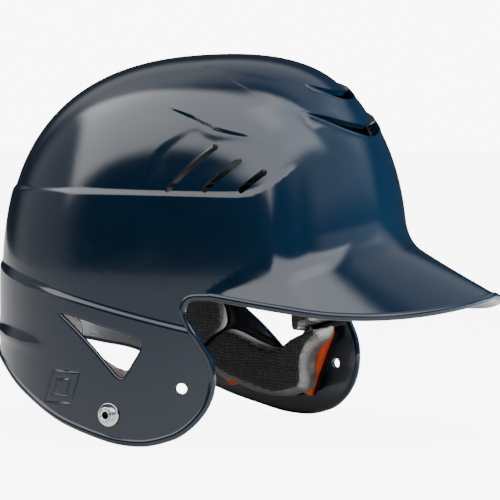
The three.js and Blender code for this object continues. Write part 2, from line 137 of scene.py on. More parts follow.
def softbox(tree, view, azimuth, elevation, half_width, half_height, soft, strength):
    """Brightness of one softbox in a direction: full inside, fading to nothing over its soft edge."""
    out = direction(math.radians(azimuth), math.radians(elevation))
    across = Vector((math.cos(math.radians(azimuth)), math.sin(math.radians(azimuth)), 0))
    result = calculate(tree, "GREATER_THAN", put(
        tree, "ShaderNodeVectorMath", {"operation": "DOT_PRODUCT"}, i0=view, i1=out).outputs["Value"])
    for side, half in ((across, half_width), (out.cross(across), half_height)):
        sine = put(tree, "ShaderNodeVectorMath", {"operation": "DOT_PRODUCT"}, i0=view, i1=side)
        angle = calculate(tree, "DEGREES", calculate(
            tree, "ARCSINE", calculate(tree, "ABSOLUTE", sine.outputs["Value"])))
        fade = put(tree, "ShaderNodeMapRange", {"interpolation_type": "SMOOTHERSTEP"}, Value=angle,
                   From_Min=float(half + soft / 2), From_Max=float(half - soft / 2))
        result = calculate(tree, "MULTIPLY", result, fade.outputs["Result"])
    return calculate(tree, "MULTIPLY", result, strength)


for name, (azimuth, elevation, distance_away, width, height, power) in PANELS.items():
    light = bpy.data.lights.new(name, "AREA")
    light.shape = "RECTANGLE"
    light.size = width
    light.size_y = height
    light.energy = power
    lamp = bpy.data.objects.new(name, light)
    lamp.visible_glossy = False
    place = LOOK_AT + direction(math.radians(azimuth), math.radians(elevation)) * distance_away
    aim(lamp, place, LOOK_AT)

world = bpy.data.worlds.new("painted_room")
world.use_nodes = True
bpy.context.scene.world = world
room = world.node_tree
view = put(room, "ShaderNodeTexCoord").outputs["Generated"]
brightness = ROOM_REFLECTED
for settings in SOFTBOXES.values():
    brightness = calculate(room, "ADD", brightness, softbox(room, view, *settings))
seen = put(room, "ShaderNodeMix", i0=put(room, "ShaderNodeLightPath").outputs["Is Camera Ray"],
           i2=brightness, i3=ROOM_SEEN)
room.links.new(seen.outputs[0], room.nodes["Background"].inputs["Strength"])
room.nodes["Background"].inputs["Color"].default_value = (1, 1, 1, 1)
print("softboxes:", ", ".join(SOFTBOXES), "- panels:", ", ".join(PANELS))

# %% [markdown]
# Materials. Each surface has its own small life: the plastic has orange peel and faint scuffs, the
# foams have pores, the cloth a knit, and the chrome fine polishing marks. The effects are node groups
# of their own, so that two materials can share one at different sizes.

# %% Helpers for shader nodes
def effect(name, build, **sizes):
    """A node group with named sizes in, and Shade and Height out."""
    group = bpy.data.node_groups.new(name, "ShaderNodeTree")
    for label, value in sizes.items():
        socket = group.interface.new_socket(label, in_out="INPUT", socket_type="NodeSocketFloat")
        socket.default_value = value
    for label in ("Shade", "Height"):
        group.interface.new_socket(label, in_out="OUTPUT", socket_type="NodeSocketFloat")
    inward, outward_node = group.nodes.new("NodeGroupInput"), group.nodes.new("NodeGroupOutput")
    shade, height = build(group, inward)
    group.links.new(shade, outward_node.inputs["Shade"])
    group.links.new(height, outward_node.inputs["Height"])
    return group


def where(tree):
    return put(tree, "ShaderNodeTexCoord").outputs["Object"]


def build_peel(tree, size):
    waves = put(tree, "ShaderNodeTexNoise", Vector=where(tree), Scale=size.outputs["Peel"], Detail=1.5)
    scuffs = put(tree, "ShaderNodeTexNoise", Vector=where(tree), Scale=size.outputs["Scuffs"],
                 Detail=8.0, Roughness=0.7, Distortion=1.5)
    sharp = put(tree, "ShaderNodeMapRange", Value=scuffs.outputs["Fac"], From_Min=0.5, From_Max=0.75)
    return sharp.outputs["Result"], waves.outputs["Fac"]


def build_pores(tree, size):
    cells = put(tree, "ShaderNodeTexVoronoi", Vector=where(tree), Scale=size.outputs["Pores"])
    lumps = put(tree, "ShaderNodeTexNoise", Vector=where(tree), Scale=size.outputs["Lumps"], Detail=6.0)
    both = calculate(tree, "MULTIPLY", cells.outputs["Distance"], lumps.outputs["Fac"])
    return lumps.outputs["Fac"], calculate(tree, "ADD", both, lumps.outputs["Fac"])


def build_knit(tree, size):
    bent = put(tree, "ShaderNodeTexNoise", Vector=where(tree), Scale=90.0, Detail=2.0)
    place = put(tree, "ShaderNodeMix", {"data_type": "VECTOR"}, i0=0.004, i4=where(tree),
                i5=bent.outputs["Color"]).outputs[1]
    one = put(tree, "ShaderNodeTexWave", {"bands_direction": "Y"}, Vector=place,
              Scale=size.outputs["Stitches"], Distortion=0.6)
    two = put(tree, "ShaderNodeTexWave", {"bands_direction": "Z"}, Vector=place,
              Scale=size.outputs["Stitches"], Distortion=0.6)
    loops = calculate(tree, "MULTIPLY", one.outputs["Fac"], two.outputs["Fac"])
    return loops, loops


def build_polish(tree, size):
    stretched = put(tree, "ShaderNodeMapping", Vector=where(tree), Scale=(1.0, 1.0, 6.0))
    marks = put(tree, "ShaderNodeTexNoise", Vector=stretched.outputs[0],
                Scale=size.outputs["Marks"], Detail=5.0)
    return marks.outputs["Fac"], marks.outputs["Fac"]


peel = effect("orange_peel_and_scuffs", build_peel, Peel=160.0, Scuffs=30.0)
pores = effect("foam_pores", build_pores, Pores=900.0, Lumps=260.0)
knit = effect("knitted_loops", build_knit, Stitches=190.0)
polish = effect("polishing_marks", build_polish, Marks=900.0)


def surface(name, effect_group, dark, light, rough, bump, metallic=0.0, coat=0.0, sheen=0.0):
    """A Principled material that runs between two colours and two roughnesses with the effect."""
    material = bpy.data.materials.new(name)
    material.use_nodes = True
    material.diffuse_color = (*light, 1)
    tree = material.node_tree
    shader = tree.nodes["Principled BSDF"]
    life = put(tree, "ShaderNodeGroup", {"node_tree": effect_group})
    colour = put(tree, "ShaderNodeMix", {"data_type": "RGBA"}, i0=life.outputs["Shade"],
                 i6=(*dark, 1), i7=(*light, 1))
    roughness = put(tree, "ShaderNodeMapRange", Value=life.outputs["Shade"],
                    To_Min=rough[0], To_Max=rough[1])
    bumps = put(tree, "ShaderNodeBump", Height=life.outputs["Height"], Strength=bump[0],
                Distance=bump[1] * MM)
    tree.links.new(colour.outputs[2], shader.inputs["Base Color"])
    tree.links.new(roughness.outputs["Result"], shader.inputs["Roughness"])
    tree.links.new(bumps.outputs["Normal"], shader.inputs["Normal"])
    shader.inputs["Metallic"].default_value = metallic
    shader.inputs["Coat Weight"].default_value = coat
    shader.inputs["Coat Roughness"].default_value = 0.05
    shader.inputs["Sheen Weight"].default_value = sheen
    return material


# %% [markdown]
# Five materials are the helmet's own slots. A near-black film on the back of each pad's base is
# painted shade, for the deep shade seen through the ear openings, and the paper is the floor's. Dark
# and light are the two colours that a surface runs between.

# %% The materials
NAVY_DEEP, NAVY = (0.0009, 0.0062, 0.0155), (0.0012, 0.0078, 0.019)
plastic = surface("navy_plastic", peel, NAVY_DEEP, NAVY, rough=(0.13, 0.2), bump=(0.12, 0.25), coat=0.25)
firm_foam = surface("orange_foam", pores, (0.9, 0.085, 0.014), (1.0, 0.13, 0.025),
                    rough=(0.6, 0.8), bump=(0.3, 0.3))
soft_foam = surface("grey_foam", pores, (0.11, 0.11, 0.108), (0.27, 0.265, 0.255),
                    rough=(0.9, 1.0), bump=(0.8, 0.5))
cloth = surface("mesh_cloth", knit, (0.008, 0.008, 0.009), (0.075, 0.075, 0.078),
                rough=(0.45, 0.75), bump=(0.9, 0.6), sheen=0.25)
chrome = surface("chrome", polish, (0.62, 0.62, 0.63), (0.82, 0.82, 0.83), rough=(0.08, 0.2),
                 bump=(0.1, 0.05), metallic=1.0)
# painted shade: a near-black film for the back of each pad's base, standing for the deep shade seen through
# the ear openings
painted_shade_film = surface("painted_shade_film", pores, (0.004, 0.004, 0.004), (0.012, 0.012, 0.013),
                    rough=(0.5, 0.8), bump=(0.4, 0.3))
paper = surface("pale_floor", peel, (0.5, 0.5, 0.5), (0.54, 0.54, 0.54), rough=(0.8, 0.9), bump=(0.05, 1))
print("materials:", ", ".join(m.name for m in bpy.data.materials))

# %% [markdown]
# The shell is one smooth surface: a dome, a straight wall below its widest ring, and a bill that grows
# out of the front. A place on it has an azimuth in degrees, 0 in front and +90 on the wearer's left,
# and a station: 0 at the crown to 90 at the widest ring, then 90 plus the millimetres below it.
# These are the same formulas as the CAD model's, so the fine shell lies on the CAD shell, apart from
# the relief of the scales, which the CAD model keeps plainer.

# %% The dome, the wall and the bill as formulas
HALF_WIDTH, HALF_LENGTH, CROWN_HEIGHT = 101.5, 115.5, 129.0
CROWN_FORWARD, CROWN_FULLNESS = 17.0, 0.072
SQUARENESS, FRONT_TAPER = 2.1, 0.053
WALL, GAP = 3.2, 0.3
BILL_REACH, BILL_HALF_ANGLE, BILL_ROOT_HEIGHT = 58.0, 67.0, 27.0
BILL_TIP_HEIGHT, BILL_EDGE_DROP = -2.0, 9.5
FOLD_REACH = 12.0  # the fillet between dome and bill starts this far to each side of the fold
MM_PER_DEGREE = 2.05  # along the front of the dome

station_table = np.linspace(0, 90, 361)


def swell(station):
    return 1 + CROWN_FULLNESS * np.sin(2 * np.radians(station)) ** 2


height_table = CROWN_HEIGHT * np.cos(np.radians(station_table)) * swell(station_table)


def station_of_height(z):
    """The dome's height depends only on the station, so a table turns it round."""
    return np.where(z > 0, np.interp(-z, -height_table, station_table), 90 - z)


def plan(azimuth):
    t = np.radians(azimuth)
    power = 2 / SQUARENESS
    x = HALF_WIDTH * np.sign(np.sin(t)) * np.abs(np.sin(t)) ** power * (1 - FRONT_TAPER * np.cos(t))
    y = -HALF_LENGTH * np.sign(np.cos(t)) * np.abs(np.cos(t)) ** power
    return x, y


def bare_point(azimuth, station):
    """The dome and the wall without the bill, as an (n, 3) array."""
    x, y = plan(azimuth)
    inside = np.minimum(station, 90)
    r = np.sin(np.radians(inside)) * swell(inside)
    z = CROWN_HEIGHT * np.cos(np.radians(inside)) * swell(inside) - np.maximum(station - 90, 0)
    return np.stack([x * r, -CROWN_FORWARD + (y + CROWN_FORWARD) * r, z], -1)


def fold_height(azimuth):
    share = np.minimum(np.abs(azimuth) / BILL_HALF_ANGLE, 1)
    return BILL_ROOT_HEIGHT * np.cos(np.radians(90) * share)


def bill_edge(azimuth):
    """The bill's edge: the wall's plan pushed outwards, with a blunt tip and drooping sides."""
    share = np.minimum(np.abs(azimuth) / BILL_HALF_ANGLE, 1)
    blunt = 0.12
    along = np.sqrt(share**2 * (1 - blunt**2) + blunt**2)
    reach = BILL_REACH * ((1 - along) / (1 - blunt)) ** 1.15
    edge = bare_point(azimuth, np.full(np.shape(azimuth), 90.0))
    edge[..., :2] *= (1 + reach / np.hypot(edge[..., 0], edge[..., 1]))[..., None]
    edge[..., 2] = BILL_TIP_HEIGHT - BILL_EDGE_DROP * np.sin(np.pi * share**0.9) ** 1.2
    return edge


def bill_length(azimuth):
    root = bare_point(azimuth, station_of_height(fold_height(azimuth)))
    return np.linalg.norm(bill_edge(azimuth) - root, axis=-1)


def base_point(azimuth, station):
    """Dome, wall and bill: in front, the meridian turns outwards at the fold and follows the bill."""
    bare = bare_point(azimuth, station)
    fold = station_of_height(fold_height(azimuth))
    root = bare_point(azimuth, fold)
    length = np.maximum(bill_length(azimuth), 1e-3)
    past = np.where(station < fold, (station - fold) * MM_PER_DEGREE, station - fold)
    straight = root + (bill_edge(azimuth) - root) * (past / length)[..., None]
    half = np.minimum(FOLD_REACH, 0.5 * length)
    start = bare_point(azimuth, fold - half / MM_PER_DEGREE)
    end = root + (bill_edge(azimuth) - root) * (half / length)[..., None]
    s = np.clip((past + half) / (2 * half), 0, 1)[..., None]
    bend = (1 - s) ** 2 * start + 2 * s * (1 - s) * root + s**2 * end
    result = np.where((past > half)[..., None], straight, bend)
    on_bill = (np.abs(azimuth) < BILL_HALF_ANGLE) & (past > -half) & (station < fold + length + 9)
    return np.where(on_bill[..., None], result, bare)


# %% [markdown]
# To cut a net of triangles, the surface is first drawn on a flat sheet. The crown is the sheet's
# middle, the azimuth is the angle round it, and the radius grows so that shapes keep their angles, as
# on a map of the pole. Holes and edges are closed outlines on the sheet, and a constrained Delaunay
# triangulation makes triangles that follow every one of them exactly.

# %% The flat sheet and back
WALL_SCALE = 108.0  # millimetres of wall by which the sheet's radius grows e times


def to_sheet(azimuth, station):
    r = np.where(station < 90, np.tan(np.radians(np.minimum(station, 90)) / 2),
                 np.exp((np.maximum(station, 90) - 90) / WALL_SCALE))
    t = np.radians(azimuth)
    return np.stack([r * np.sin(t), -r * np.cos(t)], -1)


def from_sheet(sheet):
    r = np.hypot(sheet[..., 0], sheet[..., 1])
    station = np.where(r < 1, 2 * np.degrees(np.arctan(np.minimum(r, 1))),
                       90 + WALL_SCALE * np.log(np.maximum(r, 1)))
    return np.degrees(np.arctan2(sheet[..., 0], -sheet[..., 1])), station


def sheet_scale(sheet):
    """Millimetres of the helmet to one unit of the sheet."""
    r = np.hypot(sheet[..., 0], sheet[..., 1])
    return np.where(r < 1, 2 * WALL_SCALE / (1 + r**2), WALL_SCALE / np.maximum(r, 1))


def side_to_sheet(points, side=1):
    """[y, z] points of a side view, put on the surface and then on the sheet."""
    y, z = np.array(points, float).T
    station = station_of_height(z)
    share = np.sin(np.radians(np.minimum(station, 90))) * swell(np.minimum(station, 90))
    plan_y = np.clip(((y + CROWN_FORWARD) / share - CROWN_FORWARD) / -HALF_LENGTH, -1, 1)
    azimuth = np.degrees(np.arccos(np.sign(plan_y) * np.abs(plan_y) ** (SQUARENESS / 2)))
    return to_sheet(side * azimuth, station)


def normals_of(surface, sheet, step=0.002):
    du = surface(sheet + [step, 0]) - surface(sheet - [step, 0])
    dv = surface(sheet + [0, step]) - surface(sheet - [0, step])
    normal = np.cross(du, dv)
    return normal / np.maximum(np.linalg.norm(normal, axis=-1, keepdims=True), 1e-12)


def spline(points, spacing, closed=True):
    """A smooth curve through points of the plane (Catmull-Rom), at an even spacing."""
    points = np.array(points, float)
    count = len(points)
    fine = []
    for i in range(count if closed else count - 1):
        before, here, after, later = (
            points[(i + k) % count] if closed else points[min(max(i + k, 0), count - 1)]
            for k in (-1, 0, 1, 2))
        s = np.linspace(0, 1, 24, endpoint=False)[:, None]
        fine.append(0.5 * (2 * here + (after - before) * s
                           + (2 * before - 5 * here + 4 * after - later) * s**2
                           + (3 * here - before - 3 * after + later) * s**3))
    fine = np.concatenate(fine + [points[:1] if closed else points[-1:]])
    return even(fine, spacing)


def even(line, spacing):
    """The same line with its points at an even spacing."""
    along = np.concatenate([[0], np.cumsum(np.linalg.norm(np.diff(line, axis=0), axis=1))])
    count = max(int(round(along[-1] / spacing)), 2)
    at = np.linspace(0, along[-1], count + 1)
    return np.stack([np.interp(at, along, line[:, k]) for k in range(line.shape[1])], -1)


def rounded(corners, radius, spacing):
    """A closed polygon of the plane with rounded corners, at an even spacing."""
    corners = np.array(corners, float)
    line = []
    for i, here in enumerate(corners):
        ends = [corners[i - 1] - here, corners[(i + 1) % len(corners)] - here]
        a, b = (here + e / np.linalg.norm(e) * min(radius, np.linalg.norm(e) / 2) for e in ends)
        s = np.linspace(0, 1, 9)[:, None]
        line.append((1 - s) ** 2 * a + 2 * s * (1 - s) * here + s**2 * b)
    line = np.concatenate(line + [line[0][:1]])
    return even(line, spacing)[:-1]


def inside(points, outline):
    """Which points lie inside a closed outline, by counting the edges to their right."""
    result = np.zeros(len(points), bool)
    for (x0, y0), (x1, y1) in zip(outline, np.roll(outline, -1, 0)):
        spans = (y0 > points[:, 1]) != (y1 > points[:, 1])
        if spans.any():
            crossing = x0 + (points[:, 1] - y0) * (x1 - x0) / (y1 - y0 if y1 != y0 else 1)
            result ^= spans & (points[:, 0] < crossing)
    return result


def distance(points, outline, closed=True):
    """How far each point is from a line, in the line's own units."""
    a = outline if closed else outline[:-1]
    b = np.roll(outline, -1, 0) if closed else outline[1:]
    ab = b - a
    result = np.full(len(points), 1e9)
    for start in range(0, len(points), 4000):
        p = points[start:start + 4000, None, :] - a
        s = np.clip((p * ab).sum(-1) / np.maximum((ab**2).sum(-1), 1e-18), 0, 1)
        result[start:start + 4000] = np.linalg.norm(p - s[..., None] * ab, axis=-1).min(1)
    return result


# %% [markdown]
# The outlines of everything that is cut or raised, in the side view or by azimuth and station. Both
# sides are alike, so each is given once, for the wearer's left, and mirrored.

# %% Outlines
FLAP_BOTTOM, REAR_RIM = -80.5, -34.5
FLAP_RIM = [
    [-38.5, -3.2], [-35.3, -9], [-36.8, -15.5], [-43.5, -26.5], [-49.3, -38], [-50, -50],
    [-46.5, -61], [-39, -70.5], [-29, FLAP_BOTTOM + 3.6], [-13, FLAP_BOTTOM],
    [8, FLAP_BOTTOM + 2.2], [37, -69.5], [65.5, -55.5],
    [HALF_LENGTH - 27, REAR_RIM - 8], [HALF_LENGTH - 12, REAR_RIM - 2.4],
]
EAR_CORNERS = [[43, -10.5], [13, -17], [-17.5, -26.5], [-2.5, -50.5]]
EAR_ROUNDING = 7.5
SIDE_VENTS = [[[78.7, 66.6], [64.6, 55.3]], [[68.4, 66.6], [57.2, 58.8]], [[58.1, 66.7], [49.6, 61.6]]]
SLOT_WIDTH = 3.0
GUARD_HOLE, GUARD_HOLE_RADIUS = (-35, -51), 2.9
SNAP_PLACE, SNAP_HOLE_RADIUS = (5, -66), 2.8
VENT_PANEL = [[86, 68], [84, 57.5], [77, 51.5], [71.5, 49.8], [65.5, 52], [54.5, 52.8], [42, 58],
              [44, 63], [53.5, 68], [69, 69]]
LOWER_SCALE = [[0, 50], [14, 48.6], [24, 47], [34, 45.5], [45.5, 41.5], [57, 36.5], [90, 20], [180, 9]]
UPPER_SCALE = [[0, 38.5], [10, 38], [27, 35.5], [42, 33.5], [57, 30.5], [77, 26.5], [120, 12], [180, 5]]
SIDE_LIP = [[48, 53.2], [57, 52.6], [65, 51.2], [69, 49.6], [74.5, 47.5], [84, 44.5], [92, 42.5]]
VENT_HEIGHT = 2.9  # degrees of the dome
VENT_SPANS = {"lower": (LOWER_SCALE, 31), "upper": (UPPER_SCALE, 22)}


def mirrored(line):
    return line * [-1, 1]


def smooth_edge(points):
    """The station of an edge as a smooth function of the azimuth, to either side of the front."""
    known = np.array(points, float)
    fine = spline(known, 0.5, closed=False)
    return lambda azimuth: np.interp(np.abs(azimuth), fine[:, 0], fine[:, 1])


lower_edge, upper_edge, side_lip = smooth_edge(LOWER_SCALE), smooth_edge(UPPER_SCALE), smooth_edge(SIDE_LIP)


def rim_outline():
    """The whole edge of the shell on the sheet: the bill's edge, both flaps and the nape."""
    azimuth = np.linspace(0, BILL_HALF_ANGLE - 1, 60)
    bill = to_sheet(azimuth, station_of_height(fold_height(azimuth)) + bill_length(azimuth))
    flap = side_to_sheet(FLAP_RIM)
    nape = to_sheet(np.array([180.0]), np.array([90 - REAR_RIM]))
    corner = spline(np.concatenate([bill[-1:], flap, nape, mirrored(flap[-1:])]), 0.01, closed=False)
    tail = corner[:np.argmin(np.linalg.norm(corner - nape, axis=1)) + 1]
    half = np.concatenate([bill[:-1], tail])
    half[-1, 0] = 0
    return np.concatenate([half, mirrored(half[-2:0:-1])])


def slot_outline(ends):
    (t0, s0), (t1, s1) = ends
    a, b = to_sheet(np.array([t0, t1]), np.array([s0, s1]))
    scale = float(sheet_scale((a + b) / 2))
    along = (b - a) / np.linalg.norm(b - a)
    across = np.array([-along[1], along[0]]) * SLOT_WIDTH / 2 / scale
    return rounded([a - across, b - across, b + across, a + across], 1.5 / scale, 1.1 / scale)


def round_outline(place, radius, count=28):
    centre = side_to_sheet([place])[0]
    turn = np.linspace(0, 2 * np.pi, count, endpoint=False)
    return centre + np.stack([np.cos(turn), np.sin(turn)], -1) * radius / float(sheet_scale(centre))


def vent_outline(edge, half_angle):
    azimuth = np.linspace(-half_angle, half_angle, 70)
    top = edge(azimuth) + 0.35
    drop = VENT_HEIGHT * np.cos(np.radians(90) * azimuth / half_angle) ** 0.7
    return np.concatenate([to_sheet(azimuth, top), to_sheet(azimuth[-2:0:-1], (top + drop)[-2:0:-1])])


rim = rim_outline()
ear = rounded(side_to_sheet(EAR_CORNERS), EAR_ROUNDING / 75, 0.016)
slots = [slot_outline(ends) for ends in SIDE_VENTS]
guard_hole = round_outline(GUARD_HOLE, GUARD_HOLE_RADIUS)
snap_hole = round_outline(SNAP_PLACE, SNAP_HOLE_RADIUS)
vents = {name: vent_outline(smooth_edge(points), span) for name, (points, span) in VENT_SPANS.items()}
vent_panel = spline(to_sheet(*np.array(VENT_PANEL, float).T), 0.012)[:-1]
side_holes = [ear, guard_hole, snap_hole, *slots]
print("holes through the shell:", 2 * len(side_holes) + len(vents))

# %% [markdown]
# Relief is how far the outside stands above the smooth surface: two ledges where the wall steps out,
# two scales in front of the crown that dive to a thin lip with an air intake before it, a sunk panel
# round the side vents, a lip above that, a ridge low at the back and a small plain badge on each flap.
# Every part of it is a soft step or a bump, so one function can say the height anywhere.

# %% Relief
LEDGE_STEP = 1.3
UPPER_LEDGE, LOWER_LEDGE = (52.5, 0.02), (-11, 0.23)  # height in the middle, and rise per mm rearwards
LEDGE_RISE_START, LEDGE_RISE_BEND = 68, 3  # in front of this the upper ledge turns up
SCALE_DIVE, SCALE_LIP = 1.7, 0.5
INTAKE_LIP, LIP_WIDTH = 0.6, 1.1
RECESS_DEPTH, RECESS_SLOPE = 0.45, 5
SIDE_LIP_HEIGHT, SIDE_LIP_LENGTH = 1.0, 16
RIDGE_HEIGHT, RIDGE_WIDTH = 1.5, 3.4
BADGE_PLACE, BADGE_SIZE, BADGE_DEPTH = (35.5, -52), 8.5, 0.45


def step(value, low, high):
    s = np.clip((value - low) / (high - low), 0, 1)
    return s * s * (3 - 2 * s)


def bump(value, middle, width):
    return np.exp(-((value - middle) / width) ** 2)


def ledge_heights(y):
    rise = LEDGE_RISE_BEND * np.logaddexp(0, -(y + LEDGE_RISE_START) / LEDGE_RISE_BEND)
    upper = UPPER_LEDGE[0] + UPPER_LEDGE[1] * y + rise
    return upper, LOWER_LEDGE[0] + LOWER_LEDGE[1] * y


def ledges(azimuth, point):
    """How far the two ledges step out below their heights. Both fade away towards the front."""
    away = np.abs(azimuth)
    _, y, z = point.T
    upper, lower = ledge_heights(y)
    upper = step(upper - z, -2.2, 1.8) * step(away, 38, 50)
    lower = step(lower - z, -1.8, 1.8) * step(away, 55, 75)
    return LEDGE_STEP * (upper + lower)


def scales(azimuth, station):
    """Each scale dives under the dome in front of it, whose edge stands up as a thin lip."""
    away = np.abs(azimuth)
    height = np.zeros(len(azimuth))
    for edge, reach in ((lower_edge, 66), (upper_edge, 84)):
        behind = (edge(azimuth) - station) * MM_PER_DEGREE
        is_behind = step(behind, -0.35, 0.2)
        dive = SCALE_DIVE * np.exp(-np.maximum(behind, 0) / 9) * is_behind
        lip = SCALE_LIP * np.exp(-np.maximum(-behind, 0) / 4) * (1 - is_behind)
        height += (lip - dive) * step(reach - away, 0, 34)
    return height


def badge(point):
    """A plain diamond within a diamond, as two fine grooves."""
    across = (point[:, 1] - BADGE_PLACE[0]) * 0.82 - (point[:, 2] - BADGE_PLACE[1]) * 0.57
    along = (point[:, 1] - BADGE_PLACE[0]) * 0.57 + (point[:, 2] - BADGE_PLACE[1]) * 0.82
    ring = (np.abs(across) / 1.35 + np.abs(along)) * 0.8
    low = point[:, 2] < -30
    return -BADGE_DEPTH * low * (bump(ring, BADGE_SIZE, 0.55) + bump(ring, BADGE_SIZE * 0.5, 0.5))


def intake_lips(sheet, scale):
    """A thin raised lip along the front edge of each air intake."""
    result = np.zeros(len(sheet))
    for (points, span), outline in zip(VENT_SPANS.values(), vents.values()):
        azimuth, station = from_sheet(sheet)
        in_front = station - smooth_edge(points)(azimuth)
        near = (np.abs(azimuth) < span + 8) & (in_front > 0.2) & (in_front < 9)
        gap = distance(sheet[near], outline) * scale[near]
        result[near] += INTAKE_LIP * np.exp(-((gap - LIP_WIDTH) / LIP_WIDTH) ** 2)
    return result


def ledge_stations(azimuth):
    """The stations of both ledges, and so of the rows of points that follow them."""
    upper, lower = ledge_heights(plan(azimuth)[1])
    return station_of_height(upper), station_of_height(lower)


def smooth_surface(sheet):
    """Where each point of the sheet lies on the smooth surface, and the normal there."""
    azimuth, station = from_sheet(sheet)
    normal = normals_of(lambda s: base_point(*from_sheet(s)), sheet)
    return azimuth, station, base_point(azimuth, station), normal


def relief(sheet):
    azimuth, station, point, normal = smooth_surface(sheet)
    scale = sheet_scale(sheet)
    away = np.abs(azimuth)
    height = ledges(azimuth, point) + scales(azimuth, station)
    folded = np.concatenate([np.abs(sheet[:, :1]), sheet[:, 1:]], 1)
    near = np.linalg.norm(folded - vent_panel.mean(0), axis=1) < 0.45
    depth = np.zeros(len(sheet))
    depth[near] = distance(folded[near], vent_panel) * scale[near] * inside(folded[near], vent_panel)
    above_ledge = ledge_stations(azimuth)[0] - station
    height -= RECESS_DEPTH * step(depth, 0, RECESS_SLOPE) * step(above_ledge, 0.8, 7)
    above = (side_lip(azimuth) - station) * MM_PER_DEGREE
    shown = step(away, 50, 66) * step(-away, -90, -70)
    height += (SIDE_LIP_HEIGHT * shown * step(above, -0.5, 0.2)
               * np.exp(-np.maximum(above, 0) / SIDE_LIP_LENGTH))
    ridge = point[:, 2] - (-38.5 + 0.134 * point[:, 1])
    height += RIDGE_HEIGHT * bump(ridge, 0, RIDGE_WIDTH) * step(point[:, 1], 42, 80)
    return height + badge(point) + intake_lips(sheet, scale), point, normal


def outside_of_shell(sheet):
    height, point, normal = relief(sheet)
    return point + normal * height[:, None]


def inside_of_shell(sheet):
    azimuth, _, point, normal = smooth_surface(sheet)
    return point + normal * (ledges(azimuth, point) - WALL)[:, None]


# %% [markdown]
# The net: rings of points at an even spacing, rows that follow each ledge and lip so that they stay
# crisp, finer patches at the side vents and badges, and the outlines. Triangles inside a hole are
# dropped.

# %% The net of triangles
SHELL_SPACING = 2.5


def rings(spacing, top=0.0, bottom=235.0):
    points = [np.zeros((1, 2))]
    station, odd = top + spacing / MM_PER_DEGREE / 2, 0
    while station < bottom:
        here = to_sheet(np.array([0.0]), np.array([station]))
        scale, r = float(sheet_scale(here)[0]), float(np.hypot(*here[0]))
        count = max(int(2 * np.pi * r * scale / spacing), 6)
        turn = (np.arange(count) + 0.5 * odd) * 360 / count
        points.append(to_sheet(turn, np.full(count, station)))
        station += spacing * 0.87 / (MM_PER_DEGREE if station < 90 else 1)
        odd = 1 - odd
    return np.concatenate(points)


def rows_along(azimuths, stations, offsets):
    return [to_sheet(azimuths, stations + offset / MM_PER_DEGREE) for offset in offsets]


def net(points, outlines, keep, drop=()):
    """Delaunay triangles of points and closed outlines, inside keep and outside every drop."""
    every = [points] + [np.asarray(o) for o in outlines]
    edges, start = [], len(points)
    for outline in outlines:
        count = len(outline)
        edges += [(start + i, start + (i + 1) % count) for i in range(count)]
        start += count
    flat = np.concatenate(every)
    made = delaunay_2d_cdt([Vector(p) for p in flat.tolist()], edges, [], 0, 1e-7, False)
    sheet = np.array([tuple(v) for v in made[0]])
    faces = np.array([f for f in made[2] if len(f) == 3])
    middle = sheet[faces].mean(1)
    good = inside(middle, keep)
    for hole in drop:
        good &= ~inside(middle, hole)
    faces = faces[good]
    used, index = np.unique(faces, return_inverse=True)
    sheet, faces = sheet[used], index.reshape(faces.shape)
    a, b, c = (sheet[faces[:, k]] for k in range(3))
    cross = (b[:, 0] - a[:, 0]) * (c[:, 1] - a[:, 1]) - (b[:, 1] - a[:, 1]) * (c[:, 0] - a[:, 0])
    faces[cross < 0] = faces[cross < 0][:, ::-1]
    return sheet, faces


def border(faces):
    """The net's open edges, each in the direction of its triangle."""
    edges = np.concatenate([faces[:, [0, 1]], faces[:, [1, 2]], faces[:, [2, 0]]])
    keys = np.sort(edges, 1)
    keys = keys[:, 0] * (faces.max() + 1) + keys[:, 1]
    _, first, count = np.unique(keys, return_index=True, return_counts=True)
    return edges[first[count == 1]]


def solid_mesh(name, outer, inner, faces, outer_normals=None, inner_normals=None):
    """A closed mesh in metres from an outer and an inner skin on one net, with walls at its edges."""
    count = len(outer)
    rim_edges = border(faces)
    walls = np.concatenate([
        np.stack([rim_edges[:, 1], rim_edges[:, 0], rim_edges[:, 0] + count], 1),
        np.stack([rim_edges[:, 1], rim_edges[:, 0] + count, rim_edges[:, 1] + count], 1)])
    triangles = np.concatenate([faces, faces[:, ::-1] + count, walls])
    points = np.concatenate([outer, inner]) * MM
    a, b, c = (points[triangles[:, k]] for k in range(3))
    if (a * np.cross(b, c)).sum() < 0:
        triangles = triangles[:, ::-1]
    mesh = bpy.data.meshes.new(name)
    mesh.from_pydata(points.tolist(), [], triangles.tolist())
    mesh.polygons.foreach_set("use_smooth", np.ones(len(triangles), bool))
    if outer_normals is not None:
        known = np.concatenate([outer_normals, inner_normals])
        a, b, c = (points[triangles[:, k]] for k in range(3))
        flat = np.cross(b - a, c - a)
        flat /= np.maximum(np.linalg.norm(flat, axis=1, keepdims=True), 1e-15)
        corner = known[triangles]
        steep = (corner * flat[:, None, :]).sum(-1).min(1) < 0.8
        steep[2 * len(faces):] = True
        corner[steep] = flat[steep][:, None, :]
        mesh.normals_split_custom_set(corner.reshape(-1, 3).tolist())
    return mesh


def outward(points, normals, centre=np.array([0, 0, 20.0])):
    """Normals turned away from the head space."""
    return normals * np.sign(((points - centre) * normals).sum(-1).mean())


def piece(name, mesh, material, slot, *nodes):
    """A finished piece: on the helmet's one body, in its material, standing for its CAD nodes."""
    thing = bpy.data.objects.new(name, mesh)
    bpy.context.scene.collection.objects.link(thing)
    mesh.materials.clear()
    mesh.materials.append(material)
    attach(thing, "root")
    if nodes:
        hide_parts(*nodes)
    print(f"{name}: {len(mesh.polygons)} faces")
    return thing


